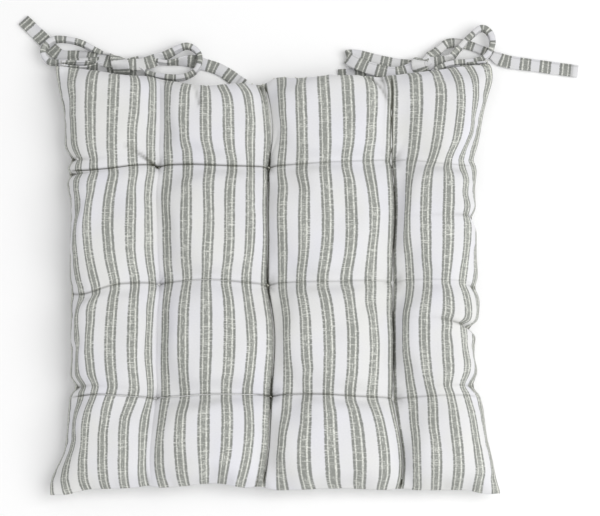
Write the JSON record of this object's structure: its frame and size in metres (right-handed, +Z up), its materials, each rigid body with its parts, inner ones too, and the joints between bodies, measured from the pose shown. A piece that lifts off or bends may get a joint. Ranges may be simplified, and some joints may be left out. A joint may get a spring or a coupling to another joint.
{
  "type": "chair seat pad",
  "caption": "Square tufted chair seat pad with a striped cotton cover, fibre filling and fabric ties in a bow at each back corner.",
  "frame": {"origin": "middle of the underside of the pad, on the surface that it lies on", "axes": "+X to the right seen from the front, +Y towards the back edge with the ties, +Z up"},
  "size_m": [0.518, 0.4512, 0.05],
  "materials": {
    "striped_cover": "matte woven cotton with printed stripes",
    "tie_cloth": "matte woven cotton, folded and stitched",
    "polyester_fibre": "matte white fibre",
    "sewing_thread": "matte spun thread",
    "tufting_thread": "matte waxed thread"
  },
  "bodies": {
    "pad": {"top_panel": "striped_cover", "bottom_panel": "striped_cover", "fibre_filling": "polyester_fibre", "edge_seam_thread": "sewing_thread", "closing_stitches": "sewing_thread", "tuft_thread_1": "tufting_thread", "tuft_thread_2": "tufting_thread", "tuft_thread_3": "tufting_thread", "tuft_thread_4": "tufting_thread", "tuft_thread_5": "tufting_thread", "tuft_thread_6": "tufting_thread", "tuft_thread_7": "tufting_thread", "tuft_thread_8": "tufting_thread", "tuft_thread_9": "tufting_thread"},
    "left_bow": {"left_inner_tie": "tie_cloth", "left_outer_tie": "tie_cloth", "left_tie_bartack": "sewing_thread"},
    "right_bow": {"right_inner_tie": "tie_cloth", "right_outer_tie": "tie_cloth", "right_tie_bartack": "sewing_thread"}
  },
  "joints": [
    {"name": "left_bow_lift", "type": "hinge", "parent": "pad", "child": "left_bow", "pos_m": [-0.197, 0.2, 0.021], "axis": [1, 0, 0], "range_deg": [0, 90]},
    {"name": "right_bow_lift", "type": "hinge", "parent": "pad", "child": "right_bow", "pos_m": [0.196, 0.2, 0.021], "axis": [1, 0, 0], "range_deg": [0, 90]}
  ]
}
